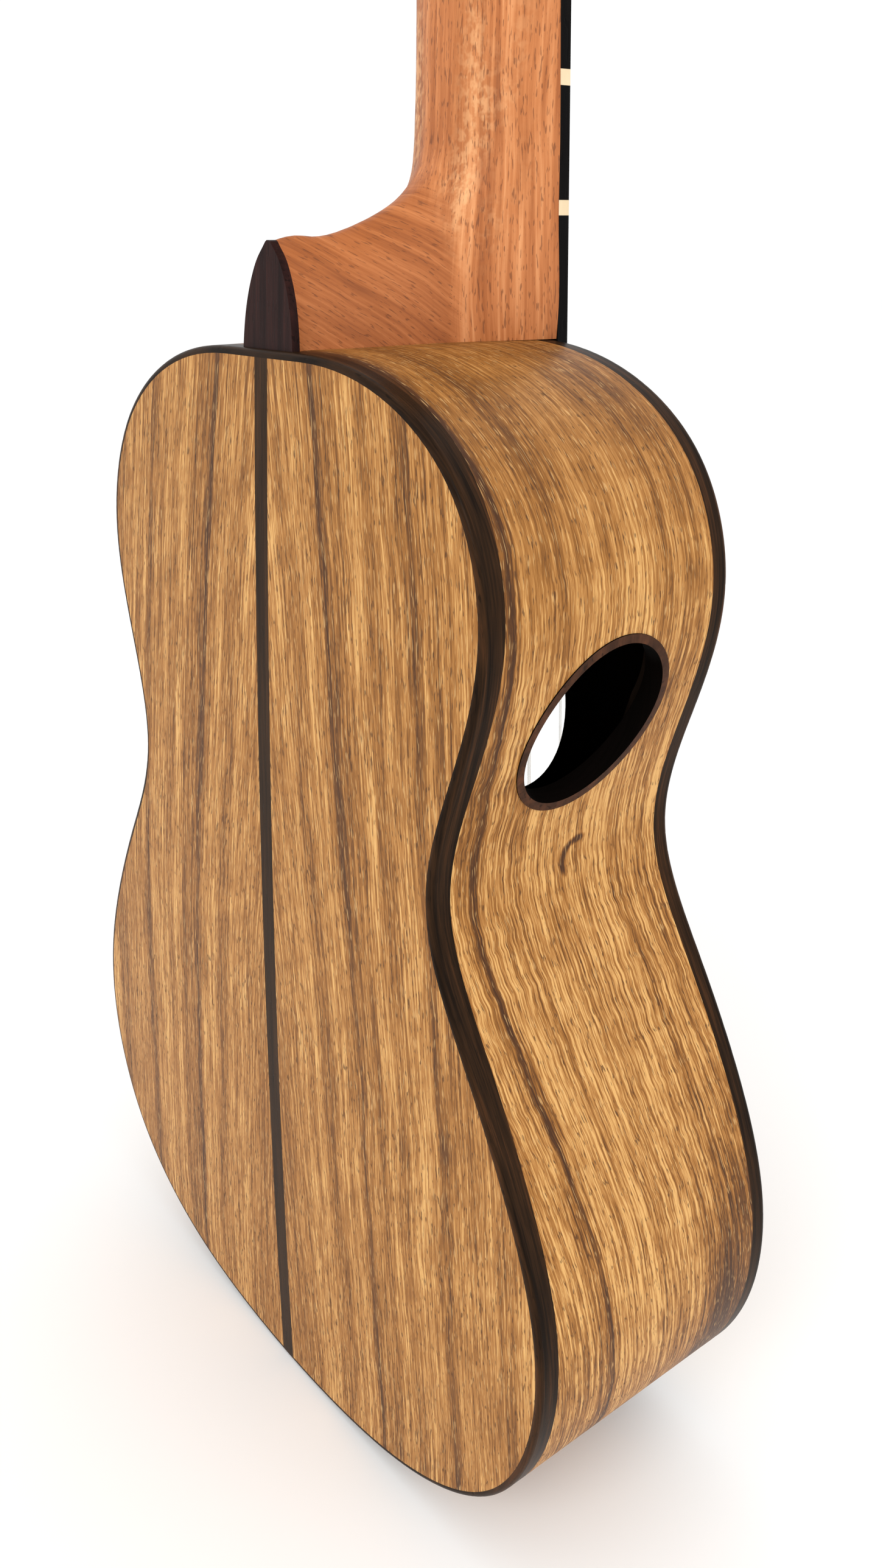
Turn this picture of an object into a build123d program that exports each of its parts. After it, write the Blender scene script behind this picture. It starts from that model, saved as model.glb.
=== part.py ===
from build123d import *
import math
import os

# Tenor ukulele with a side sound port. Millimetres.
# +Z runs up the neck, the soundboard faces -Y, the back faces +Y, the bass
# side is at -X, and the tail of the body touches z = 0.

# ---- body ----------------------------------------------------------------
body_length = 295.0
front_y = -35.4                  # outer face of the soundboard
centre_depth = 77.6              # front to back at mid length
back_taper = 0.03905             # slope of the back towards the neck
back_radius = 4331.0             # dome of the back
half_outline = [
    (0, 0), (32.7, 1.9), (65.5, 9.9), (94.0, 29.4), (108.3, 58.4),
    (108.9, 90.5), (98.0, 121.9), (82.3, 150.2), (68.4, 180.8),
    (75.3, 214.3), (81.7, 246.1), (72.4, 272.0), (45.4, 290.4), (16.0, 295.0),
]
plate_t = 2.2                    # soundboard and back
rib_t = 2.4
binding_w = 1.7
top_binding_h = 5.0
back_binding_h = 5.6
strip_w = 5.6                    # centre strip of the back
lining_w = 6.0
lining_h = 13.0
neck_block = (66.0, 24.0)        # width, length
tail_block = (76.0, 15.0)
graft_w = 12.0
back_brace_z = (48.0, 118.0, 192.0, 246.0)
back_brace_w = 8.0
back_brace_h = 11.0
top_brace_z = (158.0, 250.0)
hole_z = 203.0
hole_r = 32.5
rosette = (34.6, 38.0, 1.1)      # inner radius, outer radius, depth

# ---- sound port in the bass rib --------------------------------------------
port_z = 218.2
port_x = -76.63
port_depth = 35.6                # behind the soundboard
port_axes = (23.2, 19.2)
port_turn = -38.0                # of the long axis, from the rib line
port_tangent = (-0.31604, 0.94875)
port_rim = 2.0

# ---- neck ------------------------------------------------------------------
scale_length = 432.0
joint_fret = 14
joint_fret_z = 294.2             # just inside the edge of the body
fret_count = 19
board_t = 3.2
board_half = 23.8                # half width at the body joint
board_taper = 0.0221             # half width lost per mm
board_binding = 1.5
board_end_z = 241.6
nut_t = 5.0
nut_h = 5.0
fret_w = 2.0
fret_h = 1.0
shaft_depth = (16.6, 13.2)       # ninth fret, nut
cap_y = 67.6                     # heel cap face, behind the soundboard
cap_t = 2.0
head_tilt = 12.0
head_t = 12.5
head_plate_t = 1.6
peg_spots = ((-17.6, 48.0), (-15.2, 98.0), (15.2, 98.0), (17.6, 48.0))
post_r = 3.0
peg_clear = 0.06

# ---- strings and bridge ------------------------------------------------------
string_r = (0.36, 0.50, 0.41, 0.32)
string_nut_x = (-14.25, -4.75, 4.75, 14.25)
string_saddle_x = (-21.0, -7.0, 7.0, 21.0)
saddle_h = 9.0
saddle_t = 2.8
bridge_h = 6.5
bridge_len = 92.0

nut_z = joint_fret_z + scale_length * (1 - 2 ** (-joint_fret / 12))
saddle_z = nut_z - scale_length - 1.5
head_z = nut_z + nut_t
inner_y = front_y + plate_t
big = 800.0


def fret_z(n):
    return nut_z - scale_length * (1 - 2 ** (-n / 12))


def half_board(z):
    return board_half - board_taper * (z - joint_fret_z)


def bar(x0, x1, y0, y1, z0, z1):
    """Box given by its limits."""
    size = Box(x1 - x0, y1 - y0, z1 - z0)
    return Pos((x0 + x1) / 2, (y0 + y1) / 2, (z0 + z1) / 2) * size


def side(sign):
    """Everything on one side of the centre plane."""
    if sign < 0:
        return bar(-big, 0, -big, big, -big, big)
    return bar(0, big, -big, big, -big, big)


# ---- body shell --------------------------------------------------------------
def flank(inset):
    """Treble half of the body outline, moved inwards by inset."""
    pts = [(x, 0, z) for x, z in half_outline]
    ends = ((1, 0, 0), (-1, 0, 0))
    curve = Spline(*pts, tangents=ends, tangent_scalars=(1, 1))
    if not inset:
        return curve
    moved = []
    for k in range(29):
        p = curve @ (k / 28)
        d = curve % (k / 28)
        moved.append((p.X - inset * d.Z, 0, p.Z + inset * d.X))
    return Spline(*moved, tangents=ends, tangent_scalars=(1, 1))


def outline(inset):
    right = flank(inset)
    top = right @ 1
    flat = Line(top, (-top.X, 0, top.Z))
    return make_face([right, flat, mirror(right, about=Plane.YZ)])


def prism(face, y0, y1):
    return extrude(Pos(0, y0, 0) * face, amount=y1 - y0, dir=(0, 1, 0))


def back_ball(inset=0.0, lift=0.0):
    """Ball whose skin is the domed back, thinner or moved forward."""
    reach = back_taper * back_radius
    cz = body_length / 2 - reach
    rise = math.sqrt(back_radius**2 - reach**2)
    cy = front_y + centre_depth - rise - lift
    return Pos(0, cy, cz) * Sphere(back_radius - inset)


shell_face = outline(0)
plate_face = outline(binding_w)
cavity_face = outline(rib_t)
brace_face = outline(rib_t + lining_w + 0.2)
lining_face = outline(rib_t + lining_w)
back_y = front_y + 95.0


def ring(outer, inner, y0, y1):
    return prism(outer, y0, y1) - prism(inner, y0 - 1, y1 + 1)


def block_room(width, z0, z1):
    return bar(-width / 2, width / 2, -big, big, z0, z1)


def port_plane():
    """Plane on the rib, its x along the long axis of the port."""
    tx, tz = port_tangent
    c, s = math.cos(math.radians(port_turn)), math.sin(math.radians(port_turn))
    origin = (port_x, front_y + port_depth, port_z)
    return Plane(origin, x_dir=(c * tx, s, c * tz), z_dir=(-tz, 0, tx))


def port_plug(grow):
    a, b = port_axes
    shape = port_plane() * Ellipse(a + grow, b + grow)
    return extrude(shape, amount=40, both=True)


def make_bindings():
    band = ring(shell_face, plate_face, front_y, back_y)
    top = band & bar(-big, big, front_y - 1, front_y + top_binding_h, -big, big)
    back = (band & back_ball()) - back_ball(lift=back_binding_h)
    dome = back.faces().filter_by(GeomType.SPHERE).sort_by(Axis.Y)[-1]
    front = top.faces().sort_by(Axis.Y)[0]
    return round_outside(top, front), round_outside(back, dome)


def round_outside(solid, face):
    """Round the outer one of the two rims of a binding's face."""
    outer = face.bounding_box()
    return fillet([e for e in face.edges() if touches(e, outer)], 1.2)


def touches(edge, limit):
    box = edge.bounding_box()
    low = abs(box.min.Z - limit.min.Z) < 0.1
    high = abs(box.max.Z - limit.max.Z) < 0.1
    return low or high


def make_ribs(top_band, back_band):
    wall = ring(shell_face, cavity_face, inner_y, back_y)
    wall = (wall & back_ball(plate_t)) - top_band - back_band
    graft_box = bar(-graft_w / 2, graft_w / 2, -big, big, -5, 20)
    graft = wall & graft_box
    wall -= graft_box
    bass = (wall & side(-1)) - (port_plug(0) & side(-1))
    return bass, wall & side(1), graft


def make_back():
    plate = (prism(plate_face, front_y + 30, back_y) & back_ball())
    plate -= back_ball(plate_t)
    gap = bar(-strip_w / 2, strip_w / 2, -big, big, -big, big)
    strip = plate & gap
    rest = plate - gap
    return rest & side(-1), rest & side(1), strip


def make_blocks():
    core = prism(cavity_face, inner_y, back_y) & back_ball(plate_t)
    top_end = block_room(neck_block[0], body_length - neck_block[1], 310)
    tail_end = block_room(tail_block[0], -5, tail_block[1])
    head = fillet((core & top_end).edges().filter_by(Axis.Y).group_by(Axis.Z)[0], 3)
    tail = fillet((core & tail_end).edges().filter_by(Axis.Y).group_by(Axis.Z)[-1], 3)
    return head, tail


def make_linings():
    strip = ring(cavity_face, lining_face, inner_y, back_y)
    strip -= block_room(neck_block[0], body_length - neck_block[1] - 2, 310)
    strip -= block_room(tail_block[0], -5, tail_block[1] + 2)
    top = strip & bar(-big, big, inner_y, inner_y + lining_h, -big, big)
    back = (strip & back_ball(plate_t)) - back_ball(plate_t, lining_h)
    top -= port_plug(0.3) & side(-1)
    back -= port_plug(9.3) & side(-1)
    return top, back


def make_back_braces():
    room = prism(brace_face, front_y + 30, back_y) & back_ball(plate_t)
    room -= back_ball(plate_t, back_brace_h)
    half = back_brace_w / 2
    bars = [room & bar(-big, big, -big, big, z - half, z + half) for z in back_brace_z]
    seam = prism(cavity_face, front_y + 30, back_y) & back_ball(plate_t)
    seam -= back_ball(plate_t, 2.0)
    z0 = tail_block[1] + 0.5
    z1 = body_length - neck_block[1] - 0.5
    seam &= bar(-9, 9, -big, big, z0, z1)
    for b in bars:
        seam -= b
    return Compound(children=bars), seam


def make_soundboard():
    plate = prism(plate_face, front_y, inner_y)
    hole = Pos(0, front_y, hole_z) * Rot(90, 0, 0) * Cylinder(hole_r, 20)
    r0, r1, deep = rosette
    ring_face = Circle(r1) - Circle(r0)
    spot = Plane((0, front_y + deep, hole_z), x_dir=(1, 0, 0), z_dir=(0, -1, 0))
    inlay = extrude(spot * ring_face, amount=deep)
    plate = plate - hole - inlay
    return plate & side(-1), plate & side(1), inlay


def make_top_braces():
    room = prism(brace_face, inner_y, inner_y + 10)
    cross = [room & bar(-big, big, -big, big, z - 4, z + 4) for z in top_brace_z]
    patch = bar(-52, 52, inner_y, inner_y + 2, saddle_z - 22, saddle_z + 12)
    patch = fillet(patch.edges().filter_by(Axis.Y), 5)
    fans = []
    for tilt, x in ((-9, -26), (0, 0), (9, 26)):
        stick = bar(-3, 3, inner_y, inner_y + 7, -62, 62)
        fans.append(Pos(x, 0, 90) * Rot(0, tilt, 0) * stick - patch)
    return patch, Compound(children=cross + fans)


def make_port_parts():
    deep = outline(rib_t + 2.4)
    lip = ring(outline(-0.3), outline(rib_t + 3.0), front_y + 5, front_y + 68)
    rim = lip & (port_plug(0) - port_plug(-port_rim)) & side(-1)
    pad = ring(cavity_face, deep, front_y + 17, front_y + 60)
    pad = (pad & port_plug(9.0) & side(-1)) - port_plug(0)
    return rim, pad


# ---- neck ----------------------------------------------------------------------
def arch(root, tip, half, power, bulge):
    """Closed neck section from a straight root up to its ridge.

    root and tip are (depth behind the soundboard plane, height above joint).
    """
    steps = 7
    pts = []
    for k in range(steps + 1):
        t = math.sin(math.pi / 2 * k / steps)
        x = half * max(1 - t**power, 0) ** bulge
        y = front_y + root[0] + t * (tip[0] - root[0])
        z = body_length + root[1] + t * (tip[1] - root[1])
        pts.append((x, y, z))
    up = (0, tip[0] - root[0], tip[1] - root[1])
    right = Spline(*pts, tangents=(up, (-1, 0, 0)))
    left = mirror(right, about=Plane.YZ)
    base = Line(pts[0], (-pts[0][0], pts[0][1], pts[0][2]))
    return make_face([right, left, base])


cap_root = cap_y - cap_t + 0.7
cap_tip = cap_y - cap_t - 1.7
heel_sections = [
    ((cap_root, -10), (cap_tip, 22.9), 10.8, 3.0, 0.75),
    ((53, -10), (54, 23.5), 11.3, 3.0, 0.70),
    ((37, -10), (43.5, 25.5), 12.4, 2.8, 0.65),
    ((20, -10), (33, 29.5), 15.0, 2.6, 0.60),
    ((5, -8), (25.8, 33.7), 20.9, 2.4, 0.54),
    ((-3, 2), (21.0, 38.2), 23.9, 2.3, 0.49),
    ((-3, 20), (18.2, 44.0), 23.4, 2.2, 0.46),
    ((-3, 41), (17.0, 51.8), 23.2, 2.2, 0.455),
    ((-3, 60), (shaft_depth[0], 60), 22.7, 2.2, 0.455),
]


def shaft_section(up):
    """Round-backed section of the neck, up from the body joint."""
    share = (up - 60) / (nut_z - body_length - 60)
    depth = shaft_depth[0] + share * (shaft_depth[1] - shaft_depth[0])
    return arch((-3, up), (depth, up), half_board(body_length + up) + 0.1, 2.2, 0.455)


def throat_section(up, half, power):
    """Section above the nut, square to the headstock and squarer higher up."""
    slope = math.radians(head_tilt)
    ends = []
    for depth in (-3, head_t):
        y = depth * math.cos(slope) + up * math.sin(slope)
        z = up * math.cos(slope) - depth * math.sin(slope)
        ends.append((y, head_z - body_length + z))
    return arch(ends[0], ends[1], half, power, 1 / power)


def face_side():
    """Everything in front of the neck and headstock faces."""
    run = 60 * math.sin(math.radians(head_tilt))
    rise = 60 * math.cos(math.radians(head_tilt))
    y = front_y
    pts = [(-60, y - 99, 200), (-60, y, 200), (-60, y, head_z)]
    pts += [(-60, y + run, head_z + rise), (-60, y - 99, head_z + rise)]
    return extrude(make_face(Polyline(*pts, close=True)), amount=120, dir=(1, 0, 0))


def make_shaft():
    sections = [arch(*s) for s in heel_sections]
    sections += [shaft_section(72 + 18.2 * k) for k in range(10)]
    sections += [throat_section(4, 18.9, 2.3), throat_section(14, 21.6, 3.2)]
    sections += [throat_section(24, 26.3, 7.0)]
    shaft = loft(sections) - face_side()
    return shaft - bar(-99, 99, -99, 99, 200, body_length)


def head_place():
    return Pos(0, front_y, head_z) * Rot(-head_tilt, 0, 0)


def head_face():
    edge = [(18.9, 0, 0), (20.3, 0, 9), (26.5, 0, 24), (28.6, 0, 50)]
    edge += [(29.6, 0, 96), (32.4, 0, 136)]
    rim = Spline(*edge, tangents=((0, 0, 1), (0.35, 0, 1)))
    crown = Spline((32.4, 0, 136), (17, 0, 144), (0, 0, 149),
                   tangents=((-1, 0, 0.15), (-1, 0, 0)))
    base = Line((18.9, 0, 0), (-18.9, 0, 0))
    parts = [base, rim, crown]
    parts += [mirror(rim, about=Plane.YZ), mirror(crown, about=Plane.YZ)]
    return make_face(parts)


def peg_hole(radius, x, z):
    return Pos(x, 5, z) * Rot(90, 0, 0) * Cylinder(radius, 60)


def make_head():
    wood = prism(head_face(), 0, head_t) & bar(-40, 40, -1, 99, 20, 160)
    plate = prism(head_face(), -head_plate_t, 0)
    for x, z in peg_spots:
        wood -= peg_hole(4.5, x, z)
        plate -= peg_hole(4.5, x, z)
    return head_place() * wood, head_place() * plate


bolt_y = front_y + 30.0


def along_z(radius, z0, z1, y=bolt_y):
    return Pos(0, y, (z0 + z1) / 2) * Cylinder(radius, z1 - z0)


def make_neck():
    wood, plate = make_head()
    neck = make_shaft() + wood
    neck -= along_z(4.5, body_length, body_length + 15)
    neck -= along_z(3.2, body_length + 14, body_length + 17)
    return neck, plate


def make_heel_cap():
    face = arch(*heel_sections[0])
    cap = extrude(face, amount=cap_t, dir=(0, 1, 0))
    return cap - bar(-big, big, -big, big, -big, body_length)


def make_bolt():
    inside = body_length - neck_block[1]
    shank = along_z(2.95, inside - 2, body_length + 14)
    head = fillet(along_z(5.5, inside - 6, inside - 1.6).edges().group_by(Axis.Z)[0], 1.2)
    socket = Pos(0, bolt_y, inside - 6) * extrude(RegularPolygon(2.9, 6), amount=2.6)
    washer = along_z(8.5, inside - 1.6, inside) - along_z(3.1, inside - 2, inside + 1)
    insert = along_z(4.5, body_length, body_length + 14)
    insert -= along_z(3.0, body_length - 1, body_length + 15)
    return shank + head - socket, washer, insert


# ---- fretboard -----------------------------------------------------------------
def board_slab(inset, y0, y1, z0, z1):
    a = half_board(z0) - inset
    b = half_board(z1) - inset
    face = make_face(Polyline((-a, 0, z0), (a, 0, z0), (b, 0, z1), (-b, 0, z1), close=True))
    return prism(face, y0, y1)


def make_fretboard():
    top = front_y - board_t
    full = board_slab(0, top, front_y, board_end_z, nut_z)
    core = board_slab(board_binding, top, front_y, board_end_z, nut_z)
    edging = full - core
    bars = []
    for n in range(1, fret_count + 1):
        z = fret_z(n)
        half = half_board(z) - board_binding - 0.1
        bead = Pos(0, top, z) * Rot(0, 90, 0) * Cylinder(fret_w / 2, 2 * half)
        bead &= bar(-half, half, top - fret_h, top, z - fret_w, z + fret_w)
        tang = bar(-half, half, top, top + 1.6, z - 0.3, z + 0.3)
        bars.append(bead + tang)
        core -= tang
    dots = make_dots(top)
    for d in dots:
        core -= d
    marks = make_marks(top)
    bass = edging & side(-1)
    for m in marks:
        bass -= m
    return core, bass, edging & side(1), bars, dots, marks


def space_mid(n):
    return (fret_z(n) + fret_z(n - 1)) / 2


def make_dots(top):
    spots = [(0, 5), (0, 7), (0, 10), (-9, 12), (9, 12), (0, 15)]
    dots = []
    for x, n in spots:
        dots.append(Pos(x, top + 0.75, space_mid(n)) * Rot(90, 0, 0) * Cylinder(3.0, 1.5))
    return dots


def make_marks(top):
    edge = board_slab(0, top, front_y, board_end_z, nut_z)
    edge -= board_slab(board_binding, top, front_y, board_end_z, nut_z)
    edge &= side(-1)
    marks = []
    for n in (5, 7, 10, 12, 15):
        z = space_mid(n)
        marks.append(edge & bar(-big, 0, -big, big, z - 1.65, z + 1.65))
    return marks


def make_nut():
    half = half_board(nut_z)
    block = bar(-half, half, front_y - nut_h, front_y, nut_z, head_z)
    ridge = block.edges().filter_by(Axis.X).group_by(Axis.Y)[0]
    block = fillet(ridge, 0.8)
    for x, r in zip(string_nut_x, string_r):
        y = front_y - board_t - fret_h - 0.35 - r
        slot = bar(x - r - 0.03, x + r + 0.03, y, front_y, nut_z - 1, head_z + 1)
        slot &= bar(-big, big, front_y - nut_h - 1, y + r + 0.03, -big, big)
        up = bar(x - r - 0.03, x + r + 0.03, front_y - nut_h - 1, y, nut_z - 1, head_z + 1)
        block = block - slot - up
    return block


# ---- bridge and strings ----------------------------------------------------------
def make_bridge():
    half = bridge_len / 2
    h = bridge_h
    z0 = saddle_z - 17
    z1 = saddle_z + 6
    low = Polyline((-30, h), (30, h))
    right = Spline((30, h), (34, 4.0), (half, 2.6), tangents=((1, -0.6), (1, 0)))
    left = mirror(right, about=Plane.YZ)
    ends = Polyline((half, 2.6), (half, 0), (-half, 0), (-half, 2.6))
    face = make_face([low, right, left, ends])
    spot = Plane((0, front_y, z0), x_dir=(1, 0, 0), z_dir=(0, 0, 1))
    block = extrude(spot * mirror(face, about=Plane.XZ), amount=z1 - z0)
    corners = block.edges().filter_by(Axis.Y)
    block = fillet(corners, 4)
    y_top = front_y - h - 1
    block -= bar(-27, 27, y_top, front_y - 2.4, saddle_z - saddle_t / 2, saddle_z + saddle_t / 2)
    block -= bar(-27, 27, y_top, front_y - 2.8, saddle_z - 8.5, saddle_z - saddle_t / 2 - 1.4)
    for x in string_saddle_x:
        block -= Pos(x, front_y - 4.2, saddle_z - 13) * Cylinder(0.9, 12)
    return block


def make_saddle():
    t = saddle_t / 2
    block = bar(-27, 27, front_y - saddle_h, front_y - 2.4, saddle_z - t, saddle_z + t)
    ridge = block.edges().filter_by(Axis.X).group_by(Axis.Y)[0]
    return fillet(ridge, 0.9)


def wind_radius(r):
    return 2.6 + 2 * r


def string_points(i):
    r = string_r[i]
    xs = string_saddle_x[i]
    xn = string_nut_x[i]
    px, pz = peg_spots[i]
    sign = 1 if px > 0 else -1
    tie = front_y - 4.2
    over = front_y - saddle_h - r - 0.06
    nut_y = front_y - board_t - fret_h - 0.35 - r
    goal = head_place() * Pos(px - sign * (wind_radius(r) + r + 0.3), -6.3, pz)
    g = goal.position
    return [
        (xs, tie, saddle_z - 18.6),
        (xs, tie, saddle_z - 8.6),
        (xs, over, saddle_z - 1.0),
        (xn, nut_y, nut_z),
        (xn, nut_y, head_z + 0.05),
        (g.X, g.Y, g.Z),
    ]


def make_string(i):
    r = string_r[i]
    pts = string_points(i)
    path = FilletPolyline(*pts, radius=2.5)
    cord = sweep(Plane(pts[0], z_dir=path % 0) * Circle(r), path=path)
    x, y, z = pts[0]
    knot = Pos(x, y, saddle_z - 18.1) * Cylinder(r + 1.0, 2.2)
    knot = fillet(knot.edges(), 0.6)
    return cord + knot


# ---- friction pegs ------------------------------------------------------------------
def turned(profile):
    """Solid of revolution about the local y axis from (radius, y) points."""
    face = make_face(Polyline(*[(r, y) for r, y in profile], close=True))
    return revolve(face, axis=Axis.Y)


def peg_place(i):
    x, z = peg_spots[i]
    return head_place() * Pos(x, 0, z)


def make_bushing():
    bore = post_r + peg_clear
    front = -head_plate_t
    ring_ = [(bore, head_t), (4.5, head_t), (4.5, front), (6.2, front)]
    ring_ += [(6.2, front - 0.7), (5.6, front - 1.3), (bore, front - 1.3)]
    return turned(ring_)


def make_washer():
    return turned([(post_r + 0.3, head_t), (7.5, head_t), (7.5, head_t + 1.1),
                   (7.0, head_t + 1.5), (post_r + 0.3, head_t + 1.5)])


def make_post():
    rear = head_t + 12
    pts = [(0, -11.4), (2.2, -11.4), (post_r, -10.6), (post_r, -8.6), (2.6, -8.1)]
    pts += [(2.6, -4.5), (post_r, -4.0), (post_r, rear), (1.4, rear)]
    pts += [(1.4, rear - 8), (0, rear - 8)]
    return turned(pts)


def make_button():
    near = head_t + 1.9
    far = near + 13.0
    body = prism(Plane.XZ * Ellipse(9.5, 5.6), near + 3.4, far)
    body = fillet(body.edges(), 2.2)
    collar = turned([(0, near), (5.0, near), (4.2, near + 1.6), (4.6, near + 5), (0, near + 5)])
    hub = turned([(0, near - 1), (post_r, near - 1), (post_r, head_t + 12), (1.5, head_t + 12),
                  (1.5, far - 1.0), (3.4, far - 1.0), (3.4, far + 1), (0, far + 1)])
    return body + collar - hub


def make_screw():
    far = head_t + 1.9 + 12.0
    screw = turned([(0, head_t + 4.2), (1.4, head_t + 4.2), (1.4, far), (3.2, far),
                    (3.2, far + 0.9), (2.4, far + 1.5), (0, far + 1.5)])
    return screw - bar(-4, 4, far + 0.8, far + 3, -0.45, 0.45)


def make_winding(i):
    r = string_r[i]
    turns = []
    for k in (-1, 0, 1):
        coil = Rot(90, 0, 0) * Torus(2.6 + r, r)
        turns.append(Pos(0, -6.3 + 2 * r * k, 0) * coil)
    return Compound(children=turns)


# ---- write every piece ------------------------------------------------------------------
def save(name, shape):
    os.makedirs("parts", exist_ok=True)
    if isinstance(shape, (list, tuple)):
        shape = Compound(children=list(shape))
    export_step(shape, "parts/" + name + ".step")


def save_body():
    top_band, back_band = make_bindings()
    save("top_binding_bass", top_band & side(-1))
    save("top_binding_treble", top_band & side(1))
    save("back_binding_bass", back_band & side(-1))
    save("back_binding_treble", back_band & side(1))
    bass, treble, graft = make_ribs(top_band, back_band)
    bolt_room = along_z(3.2, body_length - neck_block[1] - 1, body_length + 1)
    save("rib_bass", bass - bolt_room)
    save("rib_treble", treble - bolt_room)
    save("end_graft", graft)
    for name, piece in zip(("back_bass", "back_treble", "back_centre_strip"), make_back()):
        save(name, piece)
    head, tail = make_blocks()
    save("neck_block", head - bolt_room)
    save("tail_block", tail)
    top_lining, back_lining = make_linings()
    save("top_linings", top_lining)
    save("back_linings", back_lining)
    braces, seam = make_back_braces()
    save("back_braces", braces)
    save("back_seam_strips", seam)
    names = ("soundboard_bass", "soundboard_treble", "soundhole_ring")
    for name, piece in zip(names, make_soundboard()):
        save(name, piece)
    patch, top_braces = make_top_braces()
    save("bridge_patch", patch)
    save("top_braces", top_braces)
    rim, pad = make_port_parts()
    save("port_ring", rim)
    save("port_backing", pad)


def save_neck():
    neck, plate = make_neck()
    save("neck", neck)
    save("head_plate", plate)
    save("heel_cap", make_heel_cap())
    bolt, washer, insert = make_bolt()
    save("neck_bolt", bolt)
    save("bolt_washer", washer)
    save("neck_insert", insert)
    core, bass, treble, bars, dots, marks = make_fretboard()
    save("fretboard", core)
    save("fretboard_binding_bass", bass)
    save("fretboard_binding_treble", treble)
    save("frets", bars)
    save("fret_dots", dots)
    save("side_markers", marks)
    save("nut", make_nut())


def save_strings_and_pegs():
    save("bridge", make_bridge())
    save("saddle", make_saddle())
    save("peg_bushings", [peg_place(i) * make_bushing() for i in range(4)])
    save("peg_washers", [peg_place(i) * make_washer() for i in range(4)])
    for i in range(4):
        tag = "_" + str(i + 1)
        save("string" + tag, make_string(i))
        save("peg_post" + tag, peg_place(i) * make_post())
        save("peg_button" + tag, peg_place(i) * make_button())
        save("peg_screw" + tag, peg_place(i) * make_screw())
        save("string_winding" + tag, peg_place(i) * make_winding(i))


save_body()
save_neck()
save_strings_and_pegs()
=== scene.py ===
import math

import bpy
from mathutils import Matrix, Vector


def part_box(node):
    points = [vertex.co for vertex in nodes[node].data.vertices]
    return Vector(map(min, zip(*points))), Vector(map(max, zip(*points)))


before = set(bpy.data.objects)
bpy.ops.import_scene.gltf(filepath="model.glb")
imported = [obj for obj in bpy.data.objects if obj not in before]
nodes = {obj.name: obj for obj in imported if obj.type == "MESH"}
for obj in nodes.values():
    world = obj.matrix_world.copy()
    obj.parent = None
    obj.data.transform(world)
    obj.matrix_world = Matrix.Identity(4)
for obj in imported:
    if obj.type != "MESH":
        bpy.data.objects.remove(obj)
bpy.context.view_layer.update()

# ---- places from the frame and marks in the wood, in metres ------------------
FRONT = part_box("soundboard_bass")[0].y      # outer face of the soundboard
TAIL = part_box("rib_bass")[0].z
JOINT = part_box("rib_bass")[1].z             # where the neck meets the body
CENTRE_Z = (TAIL + JOINT) / 2

FAN_LENGTH = 0.292          # height over which the back's lines lean in
FAN = 0.030                 # how much nearer to the seam they end
LINE_SPAN = 0.15            # from the seam to the end of the table of lines

# Along a rib is measured from the neck, depth from the soundboard's face.
DRIFT_START = 0.17          # where the rib's lines start to lean forward
DRIFT_LENGTH = 0.16
DRIFT = 0.013
STREAK_DEPTH = 0.0635       # dark streak beside the back binding
FAINT_STREAK_DEPTH = 0.020
KNOT_ALONG = 0.1735
KNOT_DEPTH = 0.0310
KNOT_RADIUS = 0.0052

HEEL_FADE = (JOINT + 0.026, JOINT + 0.050)  # heights where the heel's grain gives way
# Heights and bands where the painted highlight lies on the neck's shaft
HIGHLIGHT_START = (JOINT + 0.010, JOINT + 0.035)
HIGHLIGHT_FADE = (JOINT + 0.050, JOINT + 0.095)
HIGHLIGHT_X = 0.013              # painted highlight in pale bands either side of the neck's middle
HIGHLIGHT_WIDTH = 0.010
EDGE_ROUND = 0.0002         # on bindings, heel cap and neck


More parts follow.
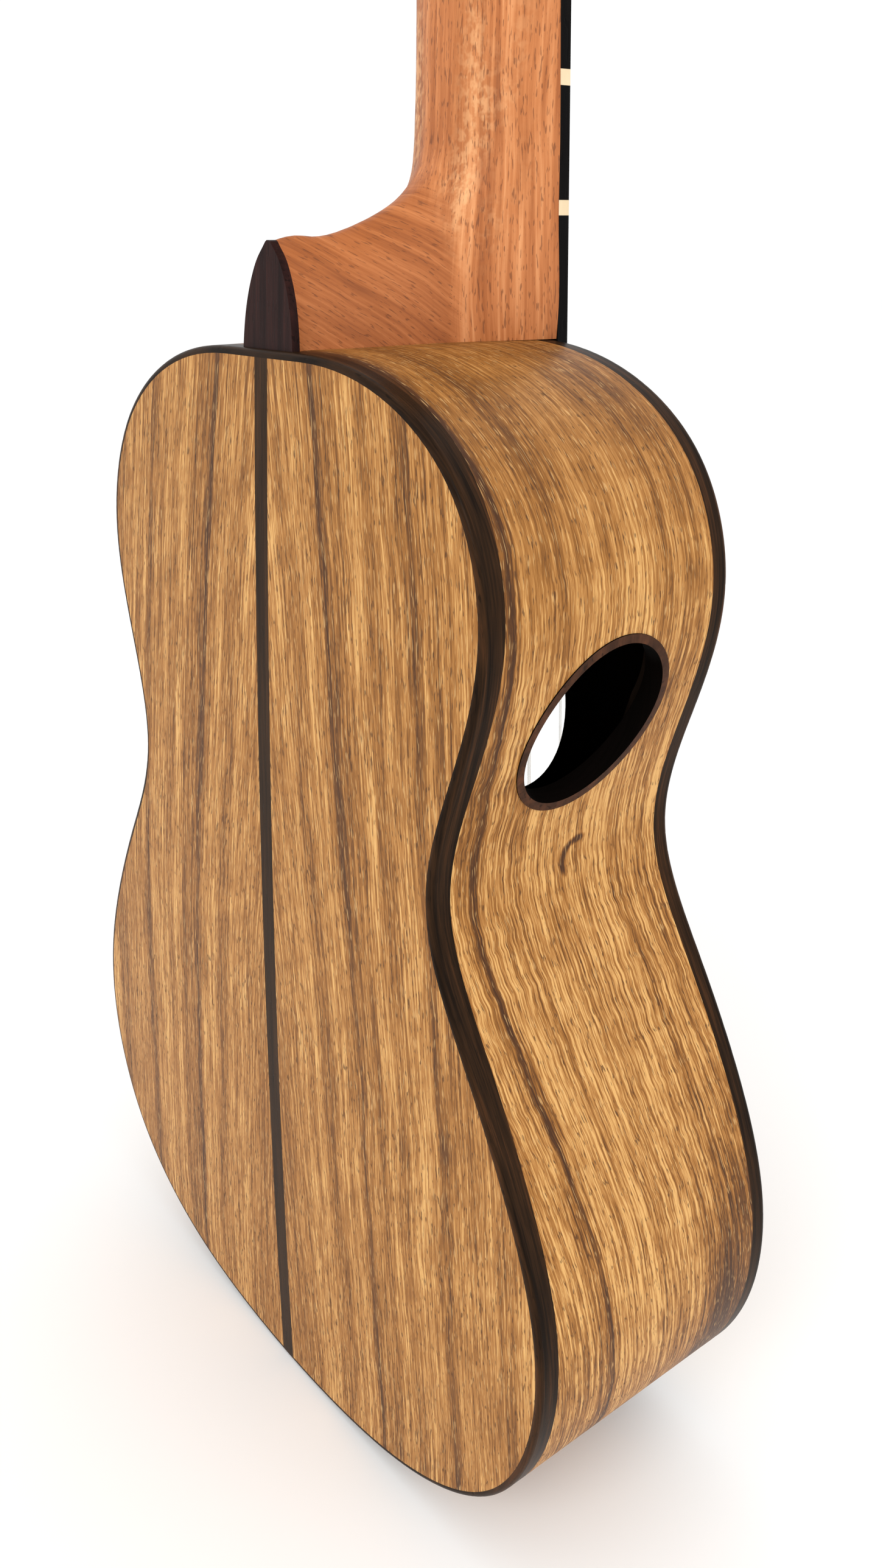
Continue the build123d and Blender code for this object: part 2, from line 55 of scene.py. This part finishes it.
# ---- node helpers -----------------------------------------------------------
class Look:
    """A material with short calls for its nodes. Distances are metres."""

    def __init__(self, name):
        self.mat = bpy.data.materials.new(name)
        self.mat.use_nodes = True
        self.tree = self.mat.node_tree
        self.tree.nodes.clear()
        self.out = self.tree.nodes.new("ShaderNodeOutputMaterial")
        self.bsdf = self.tree.nodes.new("ShaderNodeBsdfPrincipled")
        self.tree.links.new(self.bsdf.outputs[0], self.out.inputs[0])
        self.place = None

    def put(self, socket, value):
        if isinstance(value, bpy.types.NodeSocket):
            self.tree.links.new(value, socket)
        else:
            socket.default_value = value

    def set(self, **values):
        for key, value in values.items():
            self.put(self.bsdf.inputs[key.replace("_", " ")], value)

    def axes(self):
        """x, y and z in the part's own frame."""
        if self.place is None:
            coord = self.tree.nodes.new("ShaderNodeTexCoord")
            split = self.tree.nodes.new("ShaderNodeSeparateXYZ")
            self.tree.links.new(coord.outputs["Object"], split.inputs[0])
            self.place = split.outputs
        return self.place

    def strip_axes(self):
        """Along the bent strip and across it, from the layer named grain."""
        layer = self.tree.nodes.new("ShaderNodeUVMap")
        layer.uv_map = "grain"
        split = self.tree.nodes.new("ShaderNodeSeparateXYZ")
        self.tree.links.new(layer.outputs[0], split.inputs[0])
        return split.outputs[0], split.outputs[1]

    def math(self, kind, a, b=0.0):
        node = self.tree.nodes.new("ShaderNodeMath")
        node.operation = kind
        for socket, value in zip(node.inputs, (a, b)):
            self.put(socket, value)
        return node.outputs[0]

    def add(self, a, b):
        return self.math("ADD", a, b)

    def sub(self, a, b):
        return self.math("SUBTRACT", a, b)

    def mul(self, a, b):
        return self.math("MULTIPLY", a, b)

    def vec(self, x=0.0, y=0.0, z=0.0):
        node = self.tree.nodes.new("ShaderNodeCombineXYZ")
        for socket, value in zip(node.inputs, (x, y, z)):
            self.put(socket, value)
        return node.outputs[0]

    def noise(self, vector, detail=3.0, rough=0.55):
        node = self.tree.nodes.new("ShaderNodeTexNoise")
        self.tree.links.new(vector, node.inputs["Vector"])
        node.inputs["Scale"].default_value = 1.0
        node.inputs["Detail"].default_value = detail
        node.inputs["Roughness"].default_value = rough
        return node.outputs[0]

    def grain(self, across, side, along, size, detail=3.0, rough=0.55):
        """Noise drawn out along the grain; size is that of one feature."""
        steps = [self.mul(value, 1 / s) for value, s in zip((across, side, along), size)]
        return self.noise(self.vec(*steps), detail, rough)

    def cloud(self, place, rates, detail=2, rough=0.5):
        """Noise at a place of three values; rates are features per metre."""
        steps = [self.mul(value, rate) for value, rate in zip(place, rates)]
        return self.noise(self.vec(*steps), detail, rough)

    def swing(self, noise, size):
        """Noise around its middle, scaled to a swing of that size."""
        return self.mul(self.sub(noise, 0.5), size)

    def blend(self, share, a, b):
        return self.add(self.mul(a, self.sub(1.0, share)), self.mul(b, share))

    def span(self, value, low, high, a=0.0, b=1.0):
        """Smooth step from a at low to b at high."""
        node = self.tree.nodes.new("ShaderNodeMapRange")
        node.interpolation_type = "SMOOTHSTEP"
        keys = ("Value", "From Min", "From Max", "To Min", "To Max")
        for key, given in zip(keys, (value, low, high, a, b)):
            self.put(node.inputs[key], given)
        return node.outputs[0]

    def ramp(self, value, stops, smooth=True):
        """Colour by value; a stop's colour may be one grey level."""
        node = self.tree.nodes.new("ShaderNodeValToRGB")
        node.color_ramp.interpolation = "EASE" if smooth else "LINEAR"
        marks = node.color_ramp.elements
        while len(marks) < len(stops):
            marks.new(0.5)
        for mark, (at, _) in zip(marks, stops):
            mark.position = at
        for mark, (_, colour) in zip(marks, stops):
            if isinstance(colour, (int, float)):
                colour = (colour, colour, colour)
            mark.color = (*colour, 1)
        self.put(node.inputs[0], value)
        return node.outputs[0]

    def mix(self, share, a, b):
        node = self.tree.nodes.new("ShaderNodeMix")
        node.data_type = "RGBA"
        node.clamp_factor = True
        self.put(node.inputs[0], share)
        for socket, value in ((node.inputs[6], a), (node.inputs[7], b)):
            if isinstance(value, tuple):
                value = (*value, 1)
            self.put(socket, value)
        return node.outputs[2]

    def bump(self, height, strength, depth):
        node = self.tree.nodes.new("ShaderNodeBump")
        node.inputs["Strength"].default_value = strength
        node.inputs["Distance"].default_value = depth
        self.tree.links.new(height, node.inputs["Height"])
        self.tree.links.new(node.outputs[0], self.bsdf.inputs["Normal"])


def near(look, value, at, width):
    """1 on a line, falling to 0 at width either side."""
    gap = look.math("ABSOLUTE", look.sub(value, at))
    return look.span(gap, 0.0, width, 1.0, 0.0)


# ---- woods ------------------------------------------------------------------
GOLD = [
    (0.00, (0.69, 0.388, 0.132)),
    (0.26, (0.430, 0.194, 0.050)),
    (0.48, (0.280, 0.111, 0.021)),
    (0.72, (0.145, 0.054, 0.011)),
    (1.00, (0.062, 0.022, 0.006)),
]

# How dark the back is at shares of LINE_SPAN from the centre seam.
BACK_LINES = [
    (0.00, 0.30), (0.07, 0.42), (0.12, 0.30), (0.20, 0.26), (0.235, 0.46), (0.265, 0.26),
    (0.315, 0.30), (0.333, 0.86), (0.347, 0.50), (0.385, 0.50), (0.42, 0.24), (0.455, 0.44),
    (0.48, 0.25), (0.525, 0.36), (0.548, 0.70), (0.57, 0.38), (0.64, 0.24), (0.69, 0.48),
    (0.74, 0.27), (0.80, 0.40), (1.00, 0.34),
]


def golden_surface(look, dark, across, deep, along, cross, contrast):
    """Colour, pores, sheen and relief shared by the back and the ribs."""
    fine = look.grain(across, deep, along, (0.0007, 0.004, 0.035), 4, 0.6)
    thread = look.grain(across, deep, along, (0.00052, 0.003, 0.009), 3, 0.6)
    level = look.add(dark, look.swing(fine, contrast))
    level = look.add(level, look.swing(thread, look.mul(contrast, 0.7)))
    level = look.sub(level, look.swing(cross, 0.24))
    colour = look.ramp(level, GOLD, smooth=False)
    pore = look.grain(across, deep, along, (0.00042, 0.002, 0.0027), 1, 0.4)
    pit = look.span(pore, 0.62, 0.69)
    colour = look.mix(look.mul(pit, 0.76), colour, (0.075, 0.032, 0.012))
    glint = look.grain(across, deep, along, (0.00034, 0.002, 0.0040), 1, 0.4)
    glint = look.span(glint, 0.60, 0.70)
    colour = look.mix(look.mul(glint, 0.45), colour, (0.76, 0.47, 0.19))
    look.set(Base_Color=colour)
    rough = look.add(look.mul(fine, 0.12), look.mul(pit, 0.12))
    look.set(Roughness=look.add(rough, 0.42))
    look.set(Coat_Weight=0.05, Coat_Roughness=0.32, Specular_IOR_Level=0.14)
    relief = look.sub(look.mul(fine, 0.5), look.mul(pit, 0.9))
    look.bump(relief, 0.22, 0.00025)


def fanned(look, x, z):
    """Distance from the seam that a line has at the tail; it leans in up the back."""
    rise = look.math("MAXIMUM", look.mul(z, 1 / FAN_LENGTH), 0.0)
    rise = look.math("POWER", rise, 1.5)
    across = look.add(look.math("ABSOLUTE", x), look.mul(rise, FAN))
    sway = look.cloud((x, 0.0, z), (6, 1, 11))
    jitter = look.cloud((x, 0.0, z), (70, 1, 55))
    across = look.add(across, look.swing(sway, 0.006))
    return look.add(across, look.swing(jitter, 0.0012))


def back_wood():
    """Bookmatched: the lines mirror in x = 0, with a small sway of their own."""
    look = Look("back_wood")
    x, y, z = look.axes()
    across = fanned(look, x, z)
    lines = look.ramp(look.mul(across, 1 / LINE_SPAN), BACK_LINES)
    fade = look.grain(across, x, z, (0.02, 0.2, 0.07), 2, 0.5)
    strength = look.add(0.50, look.mul(fade, 0.8))
    dark = look.add(look.mul(look.sub(lines, 0.30), strength), 0.33)
    broad = look.grain(across, x, z, (0.011, 0.3, 0.22), 2, 0.5)
    medium = look.grain(across, x, z, (0.0032, 0.2, 0.12), 3, 0.55)
    dark = look.add(dark, look.swing(broad, 0.42))
    dark = look.add(dark, look.swing(medium, 0.36))
    slope = look.add(look.mul(z, 105), look.mul(x, 60))
    curl = look.cloud((x, 0.0, slope), (16, 1, 1))
    where = look.cloud((x, 4.0, z), (9, 1, 9), 1)
    cross = look.add(look.swing(curl, look.span(where, 0.42, 0.62, 0.2, 1.5)), 0.5)
    golden_surface(look, dark, across, y, z, cross, 1.5)
    return look.mat


def rib_wood():
    """Bent with the rib: figure runs along the strip, not along z."""
    look = Look("rib_wood")
    along, y = look.strip_axes()
    across, wave = rib_lines(look, along, y)
    dark = look.add(rib_figure(look, along, across), rib_tones_and_painted_shade(look, along, y))
    dark = look.add(dark, knot_mark(look, along, y))
    contrast = look.span(along, 0.06, 0.15, 1.1, 2.2)
    golden_surface(look, dark, across, 0.0, along, wave, contrast)
    return look.mat


def rib_lines(look, along, y):
    """Depth with the lines' lean, waves and slow drift; the waves as well."""
    late = look.math("MAXIMUM", look.mul(look.sub(along, DRIFT_START), 1 / DRIFT_LENGTH), 0.0)
    late = look.math("MINIMUM", late, 1.0)
    across = look.add(y, look.mul(look.math("POWER", late, 1.8), DRIFT))
    wave = look.cloud((along, across, 0.0), (135, 26, 1))
    where = look.cloud((along, across, 7.0), (9, 30, 1), 1)
    swell = look.span(where, 0.35, 0.62, 0.25, 1.0)
    swell = look.mul(swell, look.span(along, 0.06, 0.13, 0.3, 1.0))
    swell = look.mul(swell, look.span(along, 0.20, 0.27, 1.0, 0.45))
    slow = look.cloud((along, across, 3.0), (14, 14, 1))
    across = look.add(across, look.mul(look.swing(wave, 0.0027), swell))
    return look.add(across, look.swing(slow, 0.006)), wave


def rib_figure(look, along, across):
    """Dark bands and streaks that follow the lines."""
    broad = look.grain(across, 0.0, along, (0.009, 1.0, 0.25), 2, 0.5)
    medium = look.grain(across, 2.0, along, (0.0026, 1.0, 0.08), 3, 0.65)
    dark = look.add(look.swing(broad, 0.75), 0.26)
    dark = look.add(dark, look.swing(medium, look.span(along, 0.07, 0.15, 0.45, 0.85)))
    streak = look.mul(near(look, across, FRONT + STREAK_DEPTH, 0.0015), 0.42)
    halo = look.mul(near(look, across, FRONT + STREAK_DEPTH + 0.001, 0.005), 0.20)
    faint = look.mul(near(look, across, FRONT + FAINT_STREAK_DEPTH, 0.003), 0.16)
    return look.add(dark, look.add(streak, look.add(halo, faint)))


def rib_tones_and_painted_shade(look, along, y):
    """Darker wood towards the neck, darker towards the tail, and painted shade at the lower front
    corner.
    """
    neckward = look.span(along, 0.040, 0.125, 0.26, 0.0)
    tailward = look.span(along, 0.27, 0.34, 0.0, 0.17)
    # painted shade: darker where the lower bout's rib turns away near the soundboard
    corner = look.span(y, FRONT + 0.030, FRONT + 0.012)
    corner = look.mul(look.span(along, 0.22, 0.31), corner)
    return look.add(look.add(neckward, tailward), look.mul(corner, 0.54))


def knot_mark(look, along, y):
    """Small comma-shaped mark below the sound port."""
    du = look.sub(along, KNOT_ALONG)
    dv = look.sub(y, FRONT + KNOT_DEPTH)
    radius = look.math("SQRT", look.add(look.mul(du, du), look.mul(dv, dv)))
    lead = look.sub(look.mul(dv, 0.8), look.mul(du, 0.6))
    hook = near(look, radius, KNOT_RADIUS, 0.0014)
    return look.mul(look.mul(hook, look.span(lead, 0.0008, 0.0034)), 0.95)


def dark_wood(name, tint, strip=False, lively=1.0):
    """Rosewood and ebony. strip says the grain follows the bent strip."""
    look = Look(name)
    if strip:
        along, across = look.strip_axes()
        deep = 0.0
    else:
        across, deep, along = look.axes()
    broad = look.grain(across, deep, along, (0.0022, 0.004, 0.07), 3, 0.6)
    fine = look.grain(across, deep, along, (0.00045, 0.002, 0.014), 3, 0.6)
    level = look.add(look.mul(broad, 0.65), look.mul(fine, 0.35))
    level = look.add(look.swing(level, lively), 0.5)
    r, g, b = tint
    stops = [
        (0.30, (r * 0.30, g * 0.30, b * 0.32)),
        (0.48, (r * 0.75, g * 0.72, b * 0.72)),
        (0.60, (r * 1.15, g * 1.05, b * 1.0)),
        (0.75, (r * 2.1, g * 1.7, b * 1.5)),
    ]
    colour = look.ramp(level, stops, smooth=False)
    pore = look.grain(across, deep, along, (0.00025, 0.001, 0.004), 1, 0.4)
    pit = look.span(pore, 0.64, 0.71)
    colour = look.mix(look.mul(pit, 0.6), colour, (r * 0.2, g * 0.2, b * 0.2))
    look.set(Base_Color=colour, Roughness=look.add(look.mul(fine, 0.14), 0.30))
    look.set(Specular_IOR_Level=0.05)
    look.bump(look.sub(look.mul(fine, 0.4), pit), 0.2, 0.0002)
    return look.mat


def neck_wood():
    """Reddish wood, its grain slanted across the heel and straight above it."""
    look = Look("neck_wood")
    x, y, z = look.axes()
    depth = look.sub(y, FRONT)
    low = look.span(z, *HEEL_FADE, 1.0, 0.0)
    heel = look.mul(look.span(depth, 0.021, 0.027), low)
    sway = look.swing(look.cloud((x, y, z), (24, 24, 12)), 0.007)
    side = look.add(look.add(look.mul(x, 0.9), look.mul(y, 0.55)), sway)
    slant = look.sub(look.mul(y, 0.60), look.mul(z, 0.80))
    slant = look.sub(slant, look.mul(look.mul(depth, depth), 1.2))
    slant = look.add(slant, sway)
    run = look.add(look.mul(y, 0.80), look.mul(z, 0.60))

    fine = look.grain(side, y, z, (0.0009, 0.004, 0.03), 4, 0.6)
    shaft = shaft_level(look, side, fine)
    block = heel_level(look, slant, run)
    stops = [
        (0.28, (0.21, 0.056, 0.015)),
        (0.42, (0.38, 0.115, 0.030)),
        (0.55, (0.55, 0.195, 0.063)),
        (0.70, (0.78, 0.355, 0.150)),
    ]
    colour = look.ramp(look.blend(heel, shaft, block), stops, smooth=False)
    # painted highlight: pale flecks on the shaft, kept off the heel
    colour = look.mix(look.mul(painted_silk_highlight(look, heel), 0.62), colour, (0.88, 0.49, 0.23))
    pore = look.grain(side, y, z, (0.00036, 0.0012, 0.0026), 1, 0.4)
    heel_pore = look.grain(slant, 3.0, run, (0.00036, 0.0012, 0.0024), 1, 0.4)
    pit = look.span(look.blend(heel, pore, heel_pore), 0.605, 0.68)
    colour = look.mix(look.mul(pit, 0.6), colour, (0.13, 0.040, 0.015))
    look.set(Base_Color=colour)
    look.set(Roughness=look.add(look.mul(fine, 0.15), 0.42))
    look.set(Specular_IOR_Level=0.22)
    look.bump(look.sub(look.mul(fine, 0.5), pit), 0.25, 0.00025)
    return look.mat


def shaft_level(look, side, fine):
    """How light the neck is above the heel, with painted shade on the treble side."""
    x, y, z = look.axes()
    broad = look.grain(side, y, z, (0.006, 0.05, 0.12), 3, 0.55)
    level = look.add(look.mul(broad, 0.60), look.mul(fine, 0.50))
    # a flat drop, then painted shade deepening it towards +x, the treble side
    return look.sub(level, look.span(x, -0.012, 0.008, 0.045, 0.13))


def heel_level(look, slant, run):
    """How light the heel is, in bands that cross it at a slant."""
    broad = look.grain(slant, 3.0, run, (0.0045, 0.05, 0.09), 3, 0.55)
    fine = look.grain(slant, 3.0, run, (0.0008, 0.004, 0.02), 4, 0.6)
    level = look.add(look.mul(broad, 0.38), look.mul(fine, 0.40))
    return look.add(level, 0.045)


def painted_silk_highlight(look, heel):
    """Painted highlight: pale flecks in a band either side of the shaft's middle."""
    x, y, z = look.axes()
    highlight_mottle = look.cloud((x, y, z), (620, 300, 430), 2, 0.6)
    spot = look.cloud((x, y, z), (150, 60, 28))
    upper = look.mul(look.span(z, *HIGHLIGHT_START), look.sub(1.0, heel))
    upper = look.mul(upper, look.span(z, *HIGHLIGHT_FADE, 1.0, 0.6))
    band = near(look, look.math("ABSOLUTE", x), HIGHLIGHT_X, HIGHLIGHT_WIDTH)
    shine = look.mul(look.mul(look.span(spot, 0.30, 0.62), upper), band)
    return look.mul(shine, look.span(highlight_mottle, 0.40, 0.62, 0.15, 1.0))


def plain_wood(name, light, dark, wide=0.0012, axis="z", shine=0.3):
    """Straight-grained wood along one axis; wide is one growth ring."""
    look = Look(name)
    x, y, z = look.axes()
    across, along = (x, z) if axis == "z" else (z, x)
    sway = look.cloud((x, y, z), (9, 9, 9))
    across = look.add(across, look.swing(sway, 0.004))
    rings = look.grain(across, y, along, (wide, 0.02, 0.3), 3, 0.5)
    fine = look.grain(across, y, along, (0.0004, 0.003, 0.02), 3, 0.6)
    level = look.add(look.mul(rings, 0.7), look.mul(fine, 0.3))
    colour = look.ramp(level, [(0.34, dark), (0.66, light)], smooth=False)
    look.set(Base_Color=colour, Roughness=look.add(look.mul(fine, 0.16), 0.42))
    look.set(Specular_IOR_Level=shine)
    look.bump(fine, 0.15, 0.0002)
    return look.mat


# ---- other materials --------------------------------------------------------
def metal(name, tint, rough):
    """Worn metal with fine lines along x."""
    look = Look(name)
    place = look.axes()
    wear = look.cloud(place, (260, 260, 260), 4, 0.6)
    line = look.cloud(place, (40, 2600, 2600))
    look.set(Base_Color=look.mix(wear, tint, tuple(c * 0.86 for c in tint)))
    look.set(Metallic=1.0, Roughness=look.add(look.mul(wear, 0.16), rough))
    look.bump(line, 0.05, 0.0001)
    return look.mat


def smooth_stuff(name, light, dark, rough, size, glow=0.0, clear=0.0):
    """Bone, shell, string and other dense, softly mottled stuff."""
    look = Look(name)
    cloud = look.cloud(look.axes(), (size, size, size * 0.4), 4, 0.55)
    look.set(Base_Color=look.ramp(cloud, [(0.35, dark), (0.65, light)]))
    look.set(Roughness=look.add(look.mul(cloud, 0.12), rough))
    if glow:
        look.set(Subsurface_Weight=glow, Subsurface_Scale=0.002)
    if clear:
        look.set(Transmission_Weight=clear, IOR=1.42)
    look.bump(cloud, 0.06, 0.0001)
    return look.mat


# ---- bent strips: a layer that follows the outline --------------------------
BAND_START, BAND_END = 0.006, 0.056         # depths of bare rib between the bindings
RIM_TURN = 0.01                             # outwardness of a face that is not an edge


def outwardness(face):
    """Positive where a rib's face looks out of the body, negative inside."""
    n, c = face.normal, face.center
    return n.x * c.x + n.z * (c.z - CENTRE_Z)


def outline_length(mesh):
    """Distance along the body outline from the neck centre, by angle."""
    spots = {}
    for face in mesh.polygons:
        bare = BAND_START < face.center.y - FRONT < BAND_END
        if outwardness(face) <= RIM_TURN or not bare:
            continue
        for k in face.vertices:
            p = mesh.vertices[k].co
            key = round(math.atan2(abs(p.x), p.z - CENTRE_Z), 4)
            spots[key] = (abs(p.x), p.z)
    total, table = 0.0, []
    last = (0.0, JOINT)
    for key in sorted(spots):
        total += math.dist(spots[key], last)
        last = spots[key]
        table.append((key, total))
    return table


def length_at(table, angle):
    """Look the angle up in the table, straight lines between its rows."""
    low, high = 0, len(table) - 1
    while high - low > 1:
        mid = (low + high) // 2
        if table[mid][0] <= angle:
            low = mid
        else:
            high = mid
    (a0, s0), (a1, s1) = table[low], table[high]
    if a1 == a0:
        return s0
    return s0 + (s1 - s0) * (angle - a0) / (a1 - a0)


def add_grain_layer(obj, table):
    layer = obj.data.uv_layers.new(name="grain")
    verts = obj.data.vertices
    for loop in obj.data.loops:
        p = verts[loop.vertex_index].co
        angle = math.atan2(abs(p.x), p.z - CENTRE_Z)
        layer.data[loop.index].uv = (length_at(table, angle), p.y)


# ---- dress the nodes --------------------------------------------------------
def dress(names, mat):
    for name in names:
        obj = nodes[name]
        obj.data.materials.clear()
        obj.data.materials.append(mat)


def darken_inside(names, mat, is_inside):
    """Give the faces that look into the body a second, near-black material: painted shade."""
    for name in names:
        mesh = nodes[name].data
        mesh.materials.append(mat)
        for face in mesh.polygons:
            if is_inside(face):
                face.material_index = 1


def smooth(name):
    for face in nodes[name].data.polygons:
        face.use_smooth = True


def round_edges(name, width):
    """A small modifier; the CAD mesh itself stays as it is."""
    bevel = nodes[name].modifiers.new("round", "BEVEL")
    bevel.width = width
    bevel.segments = 3
    bevel.limit_method = "ANGLE"
    bevel.angle_limit = math.radians(50)
    bevel.harden_normals = True
    bevel.use_clamp_overlap = True


ribs = ["rib_bass", "rib_treble"]
bands = ["back_binding_bass", "back_binding_treble", "top_binding_bass", "top_binding_treble"]
backs = ["back_bass", "back_treble"]
soundboards = ["soundboard_bass", "soundboard_treble"]
rim_table = outline_length(nodes["rib_treble"].data)
for node_name in ribs + bands + ["end_graft"]:
    add_grain_layer(nodes[node_name], rim_table)

# outer woods
dress(backs, back_wood())
dress(ribs, rib_wood())
dress(["neck"], neck_wood())
dress(soundboards, plain_wood("top_wood", (0.66, 0.40, 0.185), (0.43, 0.215, 0.085)))
dress(["side_markers"], plain_wood("maple", (0.82, 0.66, 0.43), (0.68, 0.50, 0.30), wide=0.0006))

# dark woods
dress(bands + ["end_graft"],
      dark_wood("binding_wood", (0.029, 0.0142, 0.0060), strip=True, lively=2.2))
dress(["back_centre_strip"], dark_wood("strip_wood", (0.038, 0.0195, 0.0085)))
dress(["heel_cap", "soundhole_ring", "head_plate"],
      dark_wood("rosewood", (0.024, 0.0090, 0.0078)))
dress(["port_ring"], dark_wood("port_rosewood", (0.070, 0.030, 0.015)))
dress(["bridge", "fretboard"], dark_wood("board_wood", (0.030, 0.018, 0.013)))
dress(["fretboard_binding_bass", "fretboard_binding_treble"],
      dark_wood("edge_wood", (0.0035, 0.0030, 0.0030)))

# woods inside the body, painted near black as shade
dress(["neck_block", "tail_block", "top_linings", "back_linings", "bridge_patch", "port_backing"],
      plain_wood("block_wood", (0.020, 0.012, 0.008), (0.011, 0.007, 0.005), shine=0.05))
dress(["back_braces", "back_seam_strips", "top_braces"],
      plain_wood("brace_wood", (0.030, 0.018, 0.011), (0.016, 0.010, 0.007), axis="x", shine=0.05))
# painted shade: near-black colour for faces inside the body and the sound port
painted_inside_shade = plain_wood("inside_painted_shade", (0.0045, 0.003, 0.0025), (0.0025, 0.002, 0.0015), shine=0.01)
port_out = Vector((-0.946, 0, -0.324))      # out of the sound port
darken_inside(["port_ring"], painted_inside_shade, lambda f: f.normal.dot(port_out) < 0.5)
darken_inside(ribs, painted_inside_shade, lambda f: outwardness(f) < -RIM_TURN)
darken_inside(backs + ["back_centre_strip"], painted_inside_shade, lambda f: f.normal.y < -0.9)
darken_inside(soundboards, painted_inside_shade, lambda f: f.normal.y > 0.9)

# metal, bone, shell and strings
dress(["neck_bolt", "bolt_washer"], metal("steel", (0.55, 0.55, 0.56), 0.28))
dress(["neck_insert"], metal("brass", (0.80, 0.60, 0.26), 0.3))
dress(["frets"], metal("fret_wire", (0.78, 0.76, 0.70), 0.2))
dress(["fret_dots"], smooth_stuff("pearl", (0.86, 0.86, 0.82), (0.60, 0.66, 0.68), 0.14, 700))
dress(["nut", "saddle"],
      smooth_stuff("bone", (0.86, 0.81, 0.68), (0.76, 0.69, 0.54), 0.25, 260, glow=0.15))
peg_metal = metal("peg_metal", (0.80, 0.78, 0.75), 0.14)
string_mat = smooth_stuff("string", (0.94, 0.94, 0.92), (0.88, 0.88, 0.86), 0.10, 500, clear=0.85)
button_mat = dark_wood("ebony", (0.018, 0.014, 0.013))
dress(["peg_bushings", "peg_washers"], peg_metal)
for i in range(1, 5):
    dress([f"string_{i}", f"string_winding_{i}"], string_mat)
    dress([f"peg_post_{i}", f"peg_screw_{i}"], peg_metal)
    dress([f"peg_button_{i}"], button_mat)

for node_name in nodes:
    smooth(node_name)
for node_name in bands + ["heel_cap", "neck"]:
    round_edges(node_name, EDGE_ROUND)


# ---- floor and light --------------------------------------------------------
FLOOR_SIZE = 12
FLOOR_GAP = 0.0002                          # below the tail
AIM = (0, 0, 0.2)                           # where both lights point


def make_floor():
    bpy.ops.mesh.primitive_plane_add(size=FLOOR_SIZE, location=(0, 0, TAIL - FLOOR_GAP))
    floor = bpy.context.object
    floor.name = "floor"
    look = Look("floor_paint")
    look.set(Base_Color=(0.955, 0.955, 0.95, 1), Roughness=0.7)
    floor.data.materials.append(look.mat)


def area_light(name, spot, size, power, tint):
    data = bpy.data.lights.new(name, "AREA")
    data.shape = "DISK"
    data.size = size
    data.energy = power
    data.color = tint
    obj = bpy.data.objects.new(name, data)
    bpy.context.scene.collection.objects.link(obj)
    obj.location = spot
    aim = Vector(AIM) - Vector(spot)
    obj.rotation_mode = "QUATERNION"
    obj.rotation_quaternion = aim.to_track_quat("-Z", "Y")


def make_world():
    world = bpy.data.worlds.new("studio")
    world.use_nodes = True
    background = world.node_tree.nodes["Background"]
    background.inputs["Color"].default_value = (1, 1, 1, 1)
    background.inputs["Strength"].default_value = 1.06
    bpy.context.scene.world = world
    bpy.context.scene.view_settings.view_transform = "Standard"


make_floor()
area_light("key", spot=(-0.75, 1.5, 1.5), size=1.0, power=13, tint=(1, 0.985, 0.96))
area_light("fill", spot=(-1.7, -0.3, 1.0), size=1.2, power=4, tint=(1, 0.99, 0.98))
make_world()

# ---- camera -----------------------------------------------------------------
CAMERA_SPOT = Vector((-0.26873, FRONT + 0.22903, TAIL + 0.31845))
YAW = math.radians(-51.965)
PITCH = math.radians(-22.824)
ROLL = math.radians(-0.588)
LENS = 29.94                                # mm, on a sensor 36 mm high
SENSOR = 36


def aim_camera():
    level = Vector((-math.sin(YAW), -math.cos(YAW), 0))
    forward = level * math.cos(PITCH) + Vector((0, 0, math.sin(PITCH)))
    right = forward.cross(Vector((0, 0, 1))).normalized()
    up = right.cross(forward)
    tilt_right = right * math.cos(ROLL) + up * math.sin(ROLL)
    tilt_up = up * math.cos(ROLL) - right * math.sin(ROLL)
    data = bpy.data.cameras.new("camera")
    data.lens = LENS
    data.sensor_width = SENSOR
    data.clip_start = 0.01
    data.clip_end = 50
    cam = bpy.data.objects.new("camera", data)
    bpy.context.scene.collection.objects.link(cam)
    turn = Matrix((tilt_right, tilt_up, -forward)).transposed()
    cam.matrix_world = Matrix.Translation(CAMERA_SPOT) @ turn.to_4x4()
    bpy.context.scene.camera = cam


aim_camera()
